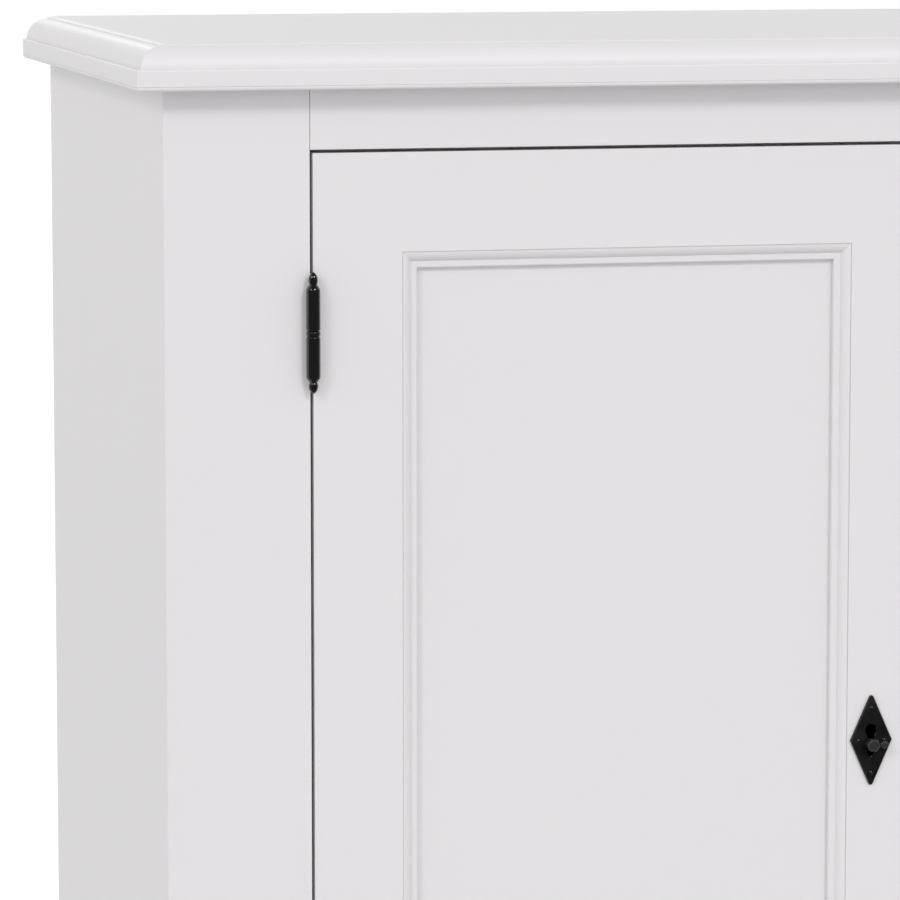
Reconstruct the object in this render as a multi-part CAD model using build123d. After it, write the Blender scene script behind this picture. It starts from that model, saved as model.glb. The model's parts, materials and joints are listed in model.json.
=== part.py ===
from build123d import *
import os
from math import atan2, cos, radians, sin, tan

# Two-door armoire with a moulded top, framed doors on finial hinges, a rim lock and two slide bolts.
# Millimetres. +X runs along the front to the right, -Y is the front, +Z is up from the floor.

# Overall sizes of the carcass
carcass_width = 1255.0
carcass_depth = 574.0
overall_height = 1652.5

# Face frame: corner posts and two rails, joined by tenons
post_width = 115.0
frame_thickness = 24.0
post_arris = 2.0
top_rail_height = 47.5
bottom_rail_height = 135.0
tenon_length = 24.0
tenon_thickness = 8.0
tenon_shoulder = 8.0
joint_clearance = 0.1

# Top board with its moulded edge, from the underside up
top_overhang = 24.0
top_lower_round = 2.4
top_fillet_height = 16.5
top_ledge = 3.5
top_ovolo_width = 18.5
top_ovolo_height = 17.6
top_step_height = 1.9
top_step_round = 1.4

# Carcass boards
side_thickness = 20.0
bottom_thickness = 18.0
partition_thickness = 18.0
partition_setback = 60.0
housing_depth = 6.0
back_thickness = 8.0
back_rebate = 10.0
back_lift = 40.0

# Plinth skirting round the foot of the carcass
plinth_height = 90.0
plinth_thickness = 14.0
plinth_round = 7.0

# Doors, hung flush inside the face frame
door_side_gap = 2.6
door_end_gap = 2.7
stop_clearance = 0.5
stop_overlap = 12.0
stop_height = 40.0
stop_depth = 24.0
stile_width = 71.0
door_top_rail_height = 78.0
door_bottom_rail_height = 95.0
panel_recess = 10.5
panel_thickness = 6.0
panel_groove_depth = 10.0
panel_play = 1.5

# Moulding planted round the panel: quirk, ovolo, bead
moulding_drop = 0.5
moulding_quirk_width = 0.5
moulding_quirk_depth = 0.7
moulding_ovolo_width = 6.2
moulding_ovolo_depth = 5.0
moulding_ovolo_bulge = 1.2
moulding_bead_width = 7.3
moulding_bead_step = 0.4
moulding_bead_round = 2.4

# Finial hinges: the lower half on the post carries the pin, the upper half lifts off with the door
hinge_drop = 139.7
hinge_barrel_diameter = 11.0
hinge_barrel_length = 32.4
hinge_ring_height = 4.5
hinge_ring_clearance = 0.1
hinge_standoff = 0.5
hinge_cone_height = 3.6
hinge_neck_diameter = 5.8
hinge_finial_diameter = 7.2
hinge_top_finial_height = 9.7
hinge_foot_finial_height = 8.5
hinge_finial_bulge = 3.8
hinge_tip_diameter = 1.4
hinge_pin_diameter = 5.6
hinge_pin_hold = 26.0
hinge_pin_clearance = 0.05
hinge_leaf_thickness = 2.0
hinge_leaf_depth = 18.0
hinge_leaf_wrap = 1.0
leaf_screw_head_diameter = 5.6
leaf_screw_sink = 1.5
leaf_screw_shank_diameter = 2.6
leaf_screw_length = 16.0
leaf_screw_spacing = 10.5

# Escutcheon, its nails and the keyhole
escutcheon_width = 34.7
escutcheon_height = 73.6
escutcheon_thickness = 2.4
escutcheon_tip_round = 2.0
escutcheon_bevel = 0.7
escutcheon_inset = 19.8
escutcheon_drop = 480.0
keyhole_head_diameter = 10.4
keyhole_head_rise = 8.2
keyhole_shaft_clearance = 0.5
keyhole_bit_clearance = 0.5
nail_rise = 26.4
nail_reach = 10.8
nail_head_diameter = 4.2
nail_head_height = 1.3
nail_shank_diameter = 1.6
nail_shank_length = 12.0

# Key
key_drop = 3.1
key_shaft_diameter = 6.0
key_shaft_clearance = 0.05
key_boss_sides = 6
key_boss_width = 11.2
key_boss_turn = -8.0
key_boss_length = 7.0
key_boss_gap = 1.2
key_boss_bevel = 1.0
key_thumb_reach = 9.6
key_thumb_diameter = 6.6
key_thumb_thickness = 4.2
key_thumb_round = 1.7
key_neck_width = 2.6
key_bit_radius = 10.0
key_bit_thickness = 3.0
key_bit_angle = 45.0

# Rim lock behind the left door, its bolt, and the keep behind the right door
lock_setback = 2.0
lock_wall = 2.0
lock_tail_room = 2.8
lock_cavity = 11.0
lock_cover_thickness = 1.5
lock_foot_room = 4.0
lock_flange = 10.0
lock_bolt_height = 12.0
lock_bolt_lift = 5.6
lock_bolt_clearance = 0.3
lock_bolt_inset = 0.3
lock_notch_play = 0.8
lock_notch_room = 0.8
lock_bit_slot_clearance = 0.6
lock_guide_clearance = 6.0
lock_guide_setback = 9.2
lock_screw_inset = 15.0
keep_length = 22.0
keep_wall = 4.0
keep_setback = 2.0
keep_pocket_clearance = 0.6

# Slide bolts behind the right door
slide_bolt_inset = 30.0
slide_bolt_width = 10.0
slide_bolt_thickness = 6.0
slide_bolt_length = 124.0
slide_bolt_clearance = 0.2
slide_bolt_throw = 14.0
slide_bolt_retreat = 2.0
slide_mortise_clearance = 0.5
slide_mortise_depth = 15.0
slide_plate_width = 32.0
slide_plate_length = 112.0
slide_plate_thickness = 3.0
slide_plate_setback = 8.0
slide_bridge_wall = 2.0
slide_bridge_length = 14.0
slide_bridge_inset = 12.0
slide_knob_diameter = 9.0
slide_knob_height = 9.0
slide_knob_round = 1.8

# Fixing screws of the lock, the keep and the slide bolts
screw_head_diameter = 6.4
screw_head_height = 1.8
screw_head_round = 1.1
screw_shank_diameter = 3.0
screw_shank_length = 15.0
screw_clearance = 0.05
screw_edge = 5.0

# Shelves on pegs, hat shelf and clothes rail
shelf_thickness = 18.0
shelf_play = 0.5
shelf_setback = 6.0
lower_shelf_height = 480.0
middle_shelf_height = 800.0
upper_shelf_height = 1120.0
hat_shelf_drop = 288.0
hat_cleat_width = 18.0
peg_diameter = 6.0
peg_hold = 11.0
peg_reach = 9.0
peg_inset = 45.0
peg_clearance = 0.05
rail_diameter = 25.0
rail_wall = 1.5
rail_drop = 70.0
rail_end_play = 0.5
socket_diameter = 44.0
socket_base = 4.0
socket_cup_wall = 3.0
socket_cup_depth = 14.0
socket_clearance = 0.2

# Levels and places worked out from the sizes above
top_thickness = top_fillet_height + top_ovolo_height + top_step_height
x_left = -carcass_width / 2
x_side = x_left + side_thickness
x_post = x_left + post_width
y_front = (top_overhang - carcass_depth) / 2
y_back = y_front + carcass_depth
y_frame = y_front + frame_thickness
y_panel = y_back - back_thickness
z_under = overall_height - top_thickness
z_head = z_under - top_rail_height
hat_shelf_height = z_under - hat_shelf_drop

door_left = x_post + door_side_gap
door_right = -door_side_gap / 2
door_thickness = frame_thickness - stop_clearance
y_door = y_front + door_thickness
door_top = z_head - door_end_gap
door_bottom = bottom_rail_height + door_end_gap
field_left = door_left + stile_width
field_right = door_right - stile_width
field_top = door_top - door_top_rail_height
field_bottom = door_bottom + door_bottom_rail_height
bottom_top = door_bottom + stop_overlap
stop_bottom = z_head - stop_overlap
partition_front = y_frame + partition_setback

hinge_radius = hinge_barrel_diameter / 2
hinge_x = x_post + door_side_gap / 2
hinge_y = y_front - hinge_radius - hinge_standoff
hinge_levels = (door_top - hinge_drop, door_bottom + hinge_drop)

plate_x = field_right + escutcheon_inset
plate_z = door_top - escutcheon_drop
key_z = plate_z - key_drop
keyhole_slot_width = key_shaft_diameter + 2 * keyhole_shaft_clearance
keyhole_slot_drop = key_drop + key_bit_radius + keyhole_bit_clearance
bit_swing = radians(key_bit_angle)
bit_near = lock_bolt_lift * tan(bit_swing) - key_bit_thickness / 2 / cos(bit_swing)
bit_far = key_bit_radius * sin(bit_swing) + key_bit_thickness / 2 * cos(bit_swing)
lock_bolt_throw = bit_near + bit_far
moulding_width = moulding_quirk_width + moulding_ovolo_width + moulding_bead_width

nodes = {}


def block(x0, x1, y0, y1, z0, z1):
    """A board or cut between two values on each axis."""
    centre = Pos((x0 + x1) / 2, (y0 + y1) / 2, (z0 + z1) / 2)
    return centre * Box(abs(x1 - x0), abs(y1 - y0), abs(z1 - z0))


def rod(start, direction, diameter, length):
    """A round bar that starts at a point and runs along a direction."""
    return extrude(Plane(start, z_dir=direction) * Circle(diameter / 2), length)


def flip(shape):
    """The same piece on the other side of the cabinet."""
    return mirror(shape, about=Plane.YZ)


def group(shapes):
    """Separate solids that share one node."""
    return Compound(children=[solid for shape in shapes for solid in shape.solids()])


def screw(start, into):
    """A round-headed screw: the head stands on a surface and the shank goes into the wood."""
    out = Vector(*into) * -1
    head = rod(start, out, screw_head_diameter, screw_head_height)
    head = fillet(head.edges().sort_by(Axis(start, out))[-1], screw_head_round)
    return head + rod(start, into, screw_shank_diameter, screw_shank_length)


def screw_hole(start, into):
    """The hole that a fixing screw fills."""
    wide = screw_shank_diameter + 2 * screw_clearance
    return rod(start, into, wide, screw_shank_length + joint_clearance)


# Moulded top board: the front edge and the two ends have the same section, mitred at the corners
def moulded_edge(face):
    """The section's outer line from the underside to the top, for an edge whose face is at this value."""
    ovolo_start = face + top_ledge
    ovolo_end = ovolo_start + top_ovolo_width
    ovolo_top = top_fillet_height + top_ovolo_height
    step = top_thickness - top_step_round
    return [
        CenterArc((face + top_lower_round, top_lower_round), top_lower_round, 270, -90),
        Line((face, top_lower_round), (face, top_fillet_height)),
        Line((face, top_fillet_height), (ovolo_start, top_fillet_height)),
        EllipticalCenterArc(
            (ovolo_end, top_fillet_height), top_ovolo_width, top_ovolo_height, start_angle=90, arc_size=90,
        ),
        Line((ovolo_end, ovolo_top), (ovolo_end, step)),
        CenterArc((ovolo_end + top_step_round, step), top_step_round, 180, -90),
    ]


end_face = x_left - top_overhang
front_face = y_front - top_overhang
end_line = moulded_edge(end_face)
end_top = end_face + top_ledge + top_ovolo_width + top_step_round
end_foot = end_face + top_lower_round
front_top = front_face + top_ledge + top_ovolo_width + top_step_round
front_foot = front_face + top_lower_round
end_section = make_face(
    end_line
    + [mirror(line, about=Plane.YZ) for line in end_line]
    + [Line((end_top, top_thickness), (-end_top, top_thickness)), Line((end_foot, 0), (-end_foot, 0))]
)
front_section = make_face(
    moulded_edge(front_face)
    + [
        Line((front_top, top_thickness), (y_back, top_thickness)),
        Line((y_back, top_thickness), (y_back, 0)),
        Line((y_back, 0), (front_foot, 0)),
    ]
)
along_y = extrude(Plane.XZ * end_section, carcass_depth, both=True)
along_x = extrude(Plane.YZ * front_section, carcass_width, both=True)
nodes["top_board"] = Pos(0, 0, z_under) * (along_y & along_x)

# Corner posts, with mortises for the rails and recesses for the hinge leaves
rail_spans = {"top_rail": (z_head, z_under), "bottom_rail": (0.0, bottom_rail_height)}
tenon_front = y_front + (frame_thickness - tenon_thickness) / 2
leaf_front = y_front - hinge_radius
leaf_back = y_front + hinge_leaf_depth


def tenon(z0, z1, grow):
    """The left tenon of a rail, or its mortise when it is made larger."""
    return block(
        x_post - tenon_length - grow, x_post,
        tenon_front - grow, tenon_front + tenon_thickness + grow,
        z0 + tenon_shoulder - grow, z1 - tenon_shoulder + grow,
    )


def leaf_recess(level, edge, towards, upper):
    """The recess for one hinge leaf in a vertical edge; towards is the side that the wood is on."""
    near = level + hinge_ring_height / 2 * upper
    far = near + (hinge_barrel_length + joint_clearance) * upper
    deep = edge + (hinge_leaf_thickness + joint_clearance) * towards
    return block(
        edge - towards, deep, leaf_front, leaf_back + joint_clearance, near - joint_clearance * upper, far,
    )


def leaf_screw(start, into, grow):
    """A countersunk screw, flush with the leaf, or its hole when it is made larger."""
    head_r = leaf_screw_head_diameter / 2 + grow
    shank_r = leaf_screw_shank_diameter / 2 + grow
    end = leaf_screw_length + grow
    outline = Polyline(
        (0, 0), (head_r, 0), (shank_r, leaf_screw_sink), (shank_r, end), (0, end), close=True,
    )
    return Plane(start, z_dir=into) * revolve(Plane.XZ * make_face(outline), Axis.Z)


def leaf_screws(level, side, grow):
    """The three screws of one leaf of a left hinge; side is -1 in the post and 1 in the door."""
    face = hinge_x + side * door_side_gap / 2
    middle = level + side * (hinge_ring_height + hinge_barrel_length) / 2
    deep = y_front + hinge_leaf_depth / 2
    levels = (middle - leaf_screw_spacing, middle, middle + leaf_screw_spacing)
    return [leaf_screw((face, deep, z), (side, 0, 0), grow) for z in levels]


left_post = block(x_left, x_post, y_front, y_frame, 0, z_under)
corner = left_post.edges().filter_by(Axis.Z).sort_by(Axis((0, 0, 0), (1, 1, 0)))[0]
left_post = fillet(corner, post_arris)
for z0, z1 in rail_spans.values():
    left_post -= tenon(z0, z1, joint_clearance)
for level in hinge_levels:
    left_post -= leaf_recess(level, x_post, -1, -1)
    left_post -= leaf_screws(level, -1, screw_clearance)
nodes["left_post"] = left_post
nodes["right_post"] = flip(left_post)

# Rails of the face frame
for name, (z0, z1) in rail_spans.items():
    left_tenon = tenon(z0, z1, 0)
    nodes[name] = block(x_post, -x_post, y_front, y_frame, z0, z1) + left_tenon + flip(left_tenon)

# Door stop behind the top rail, with the mortise for the upper slide bolt
bolt_x = -door_right + slide_bolt_inset
bolt_y = y_door + slide_plate_thickness + slide_bolt_clearance


def bolt_mortise(z0, z1):
    """The pocket that the end of a slide bolt enters."""
    half = slide_bolt_width / 2 + slide_mortise_clearance
    back = bolt_y + slide_bolt_thickness + slide_mortise_clearance
    return block(bolt_x - half, bolt_x + half, bolt_y - slide_mortise_clearance, back, z0, z1)


door_stop = block(x_post, -x_post, y_frame, y_frame + stop_depth, stop_bottom, stop_bottom + stop_height)
nodes["door_stop"] = door_stop - bolt_mortise(stop_bottom, stop_bottom + slide_mortise_depth)

# Sides, rebated for the back and housed for the bottom board, with peg holes
bay_shelves = (lower_shelf_height, middle_shelf_height, upper_shelf_height)
shelf_front = partition_front + shelf_setback
shelf_back = y_panel - shelf_play
peg_places = (shelf_front + peg_inset, shelf_back - peg_inset)
wall_mid = partition_thickness / 2


def peg(x, y, z, into):
    """A peg in a wall; its free end is cut flat on top to carry the shelf."""
    bar = rod((x + peg_hold * into, y, z), (-into, 0, 0), peg_diameter, peg_hold + peg_reach)
    lid = block(x, x - peg_reach * into, y - peg_diameter, y + peg_diameter, z, z + peg_diameter)
    return bar - lid


def peg_hole(x, y, z, into):
    """The hole that a peg sits in."""
    wide = peg_diameter + 2 * peg_clearance
    deep = peg_hold + joint_clearance
    return rod((x + deep * into, y, z), (-into, 0, 0), wide, deep)


def bottom_housing(grow):
    """The stretch of the bottom board that sits in the left side."""
    return block(
        x_side - housing_depth - grow, x_side, y_frame, y_panel,
        bottom_top - bottom_thickness - grow, bottom_top + grow,
    )


side = block(x_left, x_side, y_frame, y_back, 0, z_under)
side -= block(x_side - back_rebate - joint_clearance, x_side, y_panel, y_back, 0, z_under)
side -= bottom_housing(joint_clearance)
left_side = side
right_side = flip(side)
partition = block(-wall_mid, wall_mid, partition_front, y_panel, bottom_top - housing_depth, z_under)
pegs = []
for y in peg_places:
    for z in bay_shelves:
        left_side -= peg_hole(x_side, y, z, -1)
        partition -= peg_hole(-wall_mid, y, z, 1)
        pegs += [peg(x_side, y, z, -1), peg(-wall_mid, y, z, 1)]
for y in peg_places:
    right_side -= peg_hole(-x_side, y, hat_shelf_height, 1)
    pegs += [peg(-x_side, y, hat_shelf_height, 1)]
hat_cleat = block(
    wall_mid, wall_mid + hat_cleat_width, shelf_front, shelf_back,
    hat_shelf_height - shelf_thickness, hat_shelf_height,
)
nodes["left_side"] = left_side
nodes["right_side"] = right_side
nodes["centre_partition"] = partition
nodes["shelf_pegs"] = group(pegs)
nodes["hat_shelf_cleat"] = hat_cleat

# Bottom board, which also stops the doors, with the pocket for the lower slide bolt
bottom_board = block(x_side, -x_side, y_frame, y_panel, bottom_top - bottom_thickness, bottom_top)
bottom_board += bottom_housing(0) + flip(bottom_housing(0))
bottom_board -= block(
    -wall_mid - joint_clearance, wall_mid + joint_clearance, partition_front - joint_clearance, y_panel,
    bottom_top - housing_depth - joint_clearance, bottom_top,
)
nodes["bottom_board"] = bottom_board - bolt_mortise(bottom_top - slide_mortise_depth, bottom_top)

# Back panel in the rebates of the sides
back_edge = x_side - back_rebate
nodes["back_panel"] = block(back_edge, -back_edge, y_panel, y_back, back_lift, z_under)

# Plinth skirting: three boards with a rounded top edge, mitred at the front corners
skirt_end = x_left - plinth_thickness
skirt_front = y_front - plinth_thickness


def skirting(inner):
    """A skirting's section, from its back at this value to its face, with a rounded top edge."""
    outer = inner - plinth_thickness
    face = make_face(Polyline(
        (inner, 0), (outer, 0), (outer, plinth_height), (inner, plinth_height), close=True,
    ))
    top_corners = face.vertices().group_by(Axis.Y)[-1].sort_by(Axis.X)
    return fillet(top_corners[0], plinth_round)


front_run = extrude(Plane.YZ * skirting(y_front), carcass_width, both=True)
end_run = extrude(Plane.XZ * skirting(x_left), carcass_depth, both=True)
front_plan = make_face(Polyline(
    (skirt_end, skirt_front), (-skirt_end, skirt_front), (-x_left, y_front), (x_left, y_front), close=True,
))
end_plan = make_face(Polyline(
    (skirt_end, skirt_front), (x_left, y_front), (x_left, y_back), (skirt_end, y_back), close=True,
))
nodes["plinth_front"] = front_run & extrude(front_plan, plinth_height)
nodes["plinth_left"] = end_run & extrude(end_plan, plinth_height)
nodes["plinth_right"] = flip(nodes["plinth_left"])

# Shelves: three in the left bay, the hat shelf in the right bay
for name, z in (
    ("lower_shelf", lower_shelf_height),
    ("middle_shelf", middle_shelf_height),
    ("upper_shelf", upper_shelf_height),
):
    nodes[name] = block(
        x_side + shelf_play, -wall_mid - shelf_play, shelf_front, shelf_back, z, z + shelf_thickness,
    )
nodes["hat_shelf"] = block(
    wall_mid + shelf_play, -x_side - shelf_play, shelf_front, shelf_back,
    hat_shelf_height, hat_shelf_height + shelf_thickness,
)

# Clothes rail: a tube between two screwed sockets
rail_z = hat_shelf_height - rail_drop
rail_y = (shelf_front + shelf_back) / 2
cup_bore = rail_diameter + 2 * socket_clearance


def socket(x, out):
    """A cup that holds one end of the clothes rail."""
    base = rod((x, rail_y, rail_z), (out, 0, 0), socket_diameter, socket_base)
    rim = (x + socket_base * out, rail_y, rail_z)
    cup = rod(rim, (out, 0, 0), cup_bore + 2 * socket_cup_wall, socket_cup_depth)
    return base + (cup - rod(rim, (out, 0, 0), cup_bore, socket_cup_depth))


rail_start = wall_mid + socket_base + rail_end_play
rail_length = -x_side - socket_base - rail_end_play - rail_start
rail_axis = (rail_start, rail_y, rail_z)
clothes_rail = rod(rail_axis, (1, 0, 0), rail_diameter, rail_length)
clothes_rail -= rod(rail_axis, (1, 0, 0), rail_diameter - 2 * rail_wall, rail_length)
nodes["clothes_rail"] = clothes_rail
nodes["rail_sockets"] = group([socket(wall_mid, 1), socket(-x_side, -1)])

# Hinges: each half is a turned barrel with a finial and a flat leaf
leaf_start = hinge_pin_diameter / 2 + hinge_leaf_wrap
leaf_end = hinge_radius + hinge_standoff + hinge_leaf_depth


def turned_barrel(finial_height):
    """The lower barrel and finial, turned about Z, with the joint's middle at the origin."""
    top = -hinge_ring_height / 2
    foot = top - hinge_barrel_length
    neck = foot - hinge_cone_height
    tip = neck - finial_height
    neck_r = hinge_neck_diameter / 2
    tip_r = hinge_tip_diameter / 2
    bulge = (hinge_finial_diameter / 2, neck - hinge_finial_bulge)
    outline = [
        Polyline((0, top), (hinge_radius, top), (hinge_radius, foot), (neck_r, neck)),
        ThreePointArc((neck_r, neck), bulge, (tip_r, tip)),
        Polyline((tip_r, tip), (0, tip), (0, top)),
    ]
    return revolve(Plane.XZ * make_face(outline), Axis.Z)


def hinge_half(finial_height, pin_play):
    """The post's half of a left hinge, with its leaf on the post's side and the bore for the pin."""
    top = -hinge_ring_height / 2
    half_gap = door_side_gap / 2
    leaf = block(
        -half_gap - hinge_leaf_thickness, -half_gap, leaf_start, leaf_end, top - hinge_barrel_length, top,
    )
    bore = rod((0, 0, top), (0, 0, -1), hinge_pin_diameter + 2 * pin_play, hinge_pin_hold + pin_play)
    return turned_barrel(finial_height) + leaf - bore


post_half = hinge_half(hinge_foot_finial_height, 0)
door_half = hinge_half(hinge_top_finial_height, hinge_pin_clearance)
door_half = mirror(mirror(door_half, about=Plane.XY), about=Plane.YZ)
pin_length = 2 * hinge_pin_hold + hinge_ring_height
ring_height = hinge_ring_height - hinge_ring_clearance
ring = rod((0, 0, -hinge_ring_height / 2), (0, 0, 1), hinge_barrel_diameter, ring_height)
ring -= rod((0, 0, -pin_length / 2), (0, 0, 1), hinge_pin_diameter + 2 * hinge_pin_clearance, pin_length)
pin = rod((0, 0, -pin_length / 2), (0, 0, 1), hinge_pin_diameter, pin_length)
hands = {"left": lambda shape: shape, "right": flip}
pins = []
rings = []
post_screws = []
door_screws = {hand: [] for hand in hands}
for place, level in zip(("upper", "lower"), hinge_levels):
    at = Pos(hinge_x, hinge_y, level)
    in_post = at * post_half - leaf_screws(level, -1, screw_clearance)
    in_door = at * door_half - leaf_screws(level, 1, screw_clearance)
    for hand, turn in hands.items():
        nodes[f"{hand}_{place}_hinge_post_half"] = turn(in_post)
        nodes[f"{hand}_{place}_hinge_door_half"] = turn(in_door)
        pins.append(turn(at * pin))
        rings.append(turn(at * ring))
        post_screws += [turn(one) for one in leaf_screws(level, -1, 0)]
        door_screws[hand] += [turn(one) for one in leaf_screws(level, 1, 0)]
nodes["hinge_pins"] = group(pins)
nodes["hinge_rings"] = group(rings)
nodes["post_hinge_screws"] = group(post_screws)

# Door frames: grooved stiles with stub-tenoned rails, a flat panel in the groove
groove_front = y_front + panel_recess
groove_back = groove_front + panel_thickness


def groove(x0, x1, z0, z1):
    """The groove that holds the panel and the rails' stub tenons."""
    return block(x0, x1, groove_front - joint_clearance, groove_back + joint_clearance, z0, z1)


def door_rail(z0, z1, inner):
    """A rail between the stiles, with stub tenons and a groove in the edge that faces the panel."""
    rail = block(field_left, field_right, y_front, y_door, z0, z1)
    rail += block(
        field_left - panel_groove_depth, field_right + panel_groove_depth, groove_front, groove_back, z0, z1,
    )
    deep = inner + panel_groove_depth * (1 if inner == z0 else -1)
    return rail - groove(field_left - panel_groove_depth, field_right + panel_groove_depth, inner, deep)


tenon_play = panel_groove_depth + joint_clearance
hinge_stile = block(door_left, field_left, y_front, y_door, door_bottom, door_top)
hinge_stile -= groove(field_left - tenon_play, field_left, door_bottom, door_top)
for level in hinge_levels:
    hinge_stile -= leaf_recess(level, door_left, 1, 1)
    hinge_stile -= leaf_screws(level, 1, screw_clearance)
meeting_stile = block(field_right, door_right, y_front, y_door, door_bottom, door_top)
meeting_stile -= groove(field_right, field_right + tenon_play, door_bottom, door_top)
tongue = panel_groove_depth - panel_play
top_rail = door_rail(field_top, door_top, field_top)
bottom_rail = door_rail(door_bottom, field_bottom, field_bottom)
panel = block(
    field_left - tongue, field_right + tongue, groove_front, groove_back,
    field_bottom - tongue, field_top + tongue,
)


# Panel moulding: four mitred strips that fill the corner between the frame and the panel
def moulding_section():
    """The strip's section: across the strip from the frame, then the height above the panel."""
    top = panel_recess - moulding_drop
    crown = moulding_quirk_width
    ovolo_end = crown + moulding_ovolo_width
    ovolo_foot = top - moulding_ovolo_depth
    bead_top = ovolo_foot - moulding_bead_step
    bead_end = moulding_width - moulding_bead_round
    bead_foot = bead_top - moulding_bead_round
    quirk = top - moulding_quirk_depth
    return make_face([
        Polyline((moulding_width, bead_foot), (moulding_width, 0), (0, 0), (0, quirk)),
        Polyline((0, quirk), (crown, quirk), (crown, top)),
        SagittaArc((crown, top), (ovolo_end, ovolo_foot), moulding_ovolo_bulge),
        Polyline((ovolo_end, ovolo_foot), (ovolo_end, bead_top), (bead_end, bead_top)),
        CenterArc((bead_end, bead_foot), moulding_bead_round, 0, 90),
    ])


def moulding_strip(length):
    """One strip that stands at the origin, run up Z, with both ends cut to the mitre."""
    across = Plane((0, 0, 0), x_dir=(1, 0, 0), z_dir=(0, 0, -1))
    run = extrude(across * moulding_section(), -length)
    reach = 2 * moulding_width
    mitred = make_face(Polyline((0, 0), (0, length), (reach, length - reach), (reach, reach), close=True))
    return run & extrude(Plane.XZ * mitred, panel_recess)


field_width = field_right - field_left
field_height = field_top - field_bottom
strip_places = (
    (field_left, field_bottom, 0, field_height),
    (field_left, field_top, 90, field_width),
    (field_right, field_top, 180, field_height),
    (field_right, field_bottom, -90, field_width),
)
strips = []
for x, z, turn, length in strip_places:
    strips.append(Pos(x, groove_front, z) * Rot(0, turn, 0) * moulding_strip(length))

# Escutcheon: a lozenge plate with a keyhole, held by four round-headed nails
face_plane = Plane((plate_x, y_front, plate_z), x_dir=(1, 0, 0), z_dir=(0, -1, 0))
nail_spots = ((0, nail_rise), (0, -nail_rise), (nail_reach, 0), (-nail_reach, 0))


def keyhole():
    """Round head above, straight slot with a round foot below."""
    slot_foot = keyhole_slot_width / 2 - keyhole_slot_drop
    slot = Pos(0, (keyhole_head_rise + slot_foot) / 2) * Rectangle(
        keyhole_slot_width, keyhole_head_rise - slot_foot,
    )
    head = Pos(0, keyhole_head_rise) * Circle(keyhole_head_diameter / 2)
    return head + slot + Pos(0, slot_foot) * Circle(keyhole_slot_width / 2)


def nail(spot):
    """A round-headed nail through the plate into the stile."""
    head_r = nail_head_diameter / 2
    shank_r = nail_shank_diameter / 2
    foot = -nail_shank_length
    outline = [
        TangentArc((0, nail_head_height), (head_r, 0), tangent=(1, 0)),
        Polyline((head_r, 0), (shank_r, 0), (shank_r, foot), (0, foot), (0, nail_head_height)),
    ]
    turned = revolve(Plane.XZ * make_face(outline), Axis.Z)
    return face_plane * Pos(spot[0], spot[1], escutcheon_thickness) * turned


def nail_hole(spot):
    """The hole that a nail fills, through the plate and into the stile."""
    wide = nail_shank_diameter + 2 * joint_clearance
    deep = nail_shank_length + joint_clearance
    hole = extrude(Circle(wide / 2), deep)
    return face_plane * Pos(spot[0], spot[1], escutcheon_thickness - deep) * hole


tip_half_angle = atan2(escutcheon_width, escutcheon_height)
half_w = escutcheon_width / 2 + escutcheon_tip_round * (1 / cos(tip_half_angle) - 1)
half_h = escutcheon_height / 2 + escutcheon_tip_round * (1 / sin(tip_half_angle) - 1)
lozenge = make_face(Polyline((half_w, 0), (0, half_h), (-half_w, 0), (0, -half_h), close=True))
lozenge = fillet(lozenge.vertices(), escutcheon_tip_round)
plate = extrude(lozenge, escutcheon_thickness)
plate = chamfer(plate.faces().sort_by(Axis.Z)[-1].edges(), escutcheon_bevel)
plate -= extrude(keyhole(), escutcheon_thickness)
escutcheon = face_plane * plate
nails = []
for spot in nail_spots:
    escutcheon -= nail_hole(spot)
    meeting_stile -= nail_hole(spot)
    nails.append(nail(spot))

# Rim lock on the back of the left door's lock stile; the keyhole runs on through the stile
lock_right = door_right - lock_setback
lock_left = plate_x - key_bit_radius - lock_tail_room - lock_wall
lock_bottom = key_z - key_bit_radius - lock_foot_room - lock_wall
bolt_foot = key_z + lock_bolt_lift
bolt_head = bolt_foot + lock_bolt_height
lock_top = bolt_head + lock_bolt_clearance + lock_wall
y_cavity = y_door + lock_wall
y_cover = y_cavity + lock_cavity
key_axis = (plate_x, y_door, key_z)
bit_slot_width = key_bit_thickness + 2 * lock_bolt_clearance
lock_case = block(lock_left, lock_right, y_door, y_cover, lock_bottom, lock_top)
lock_case -= block(
    lock_left + lock_wall, lock_right - lock_wall, y_cavity, y_cover,
    lock_bottom + lock_wall, lock_top - lock_wall,
)
lock_case -= block(
    lock_right - lock_wall, lock_right, y_cavity, y_cover,
    bolt_foot - lock_bolt_clearance, bolt_head + lock_bolt_clearance,
)
lock_case += block(
    plate_x + key_bit_radius + lock_guide_clearance, lock_right - lock_wall - lock_guide_setback,
    y_cavity, y_cover, lock_bottom + lock_wall, bolt_foot - lock_bolt_clearance,
)
lock_case += block(
    lock_left, lock_right, y_door, y_cavity, lock_bottom - lock_flange, lock_top + lock_flange,
)
lock_case -= rod(key_axis, (0, 1, 0), key_shaft_diameter + 2 * key_shaft_clearance, lock_wall)
lock_case -= block(
    plate_x - bit_slot_width / 2, plate_x + bit_slot_width / 2, y_door, y_cavity,
    key_z - key_bit_radius - lock_bit_slot_clearance, key_z,
)
lock_cover = block(lock_left, lock_right, y_cover, y_cover + lock_cover_thickness, lock_bottom, lock_top)
lock_screw_spots = [
    (x, y_cavity, z)
    for x in (lock_left + lock_screw_inset, lock_right - screw_edge)
    for z in (lock_bottom - lock_flange / 2, lock_top + lock_flange / 2)
]
lock_stile = meeting_stile - extrude(face_plane * keyhole(), -door_thickness)
for spot in lock_screw_spots:
    lock_case -= screw_hole(spot, (0, -1, 0))
    lock_stile -= screw_hole(spot, (0, -1, 0))
    door_screws["left"].append(screw(spot, (0, -1, 0)))

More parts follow.
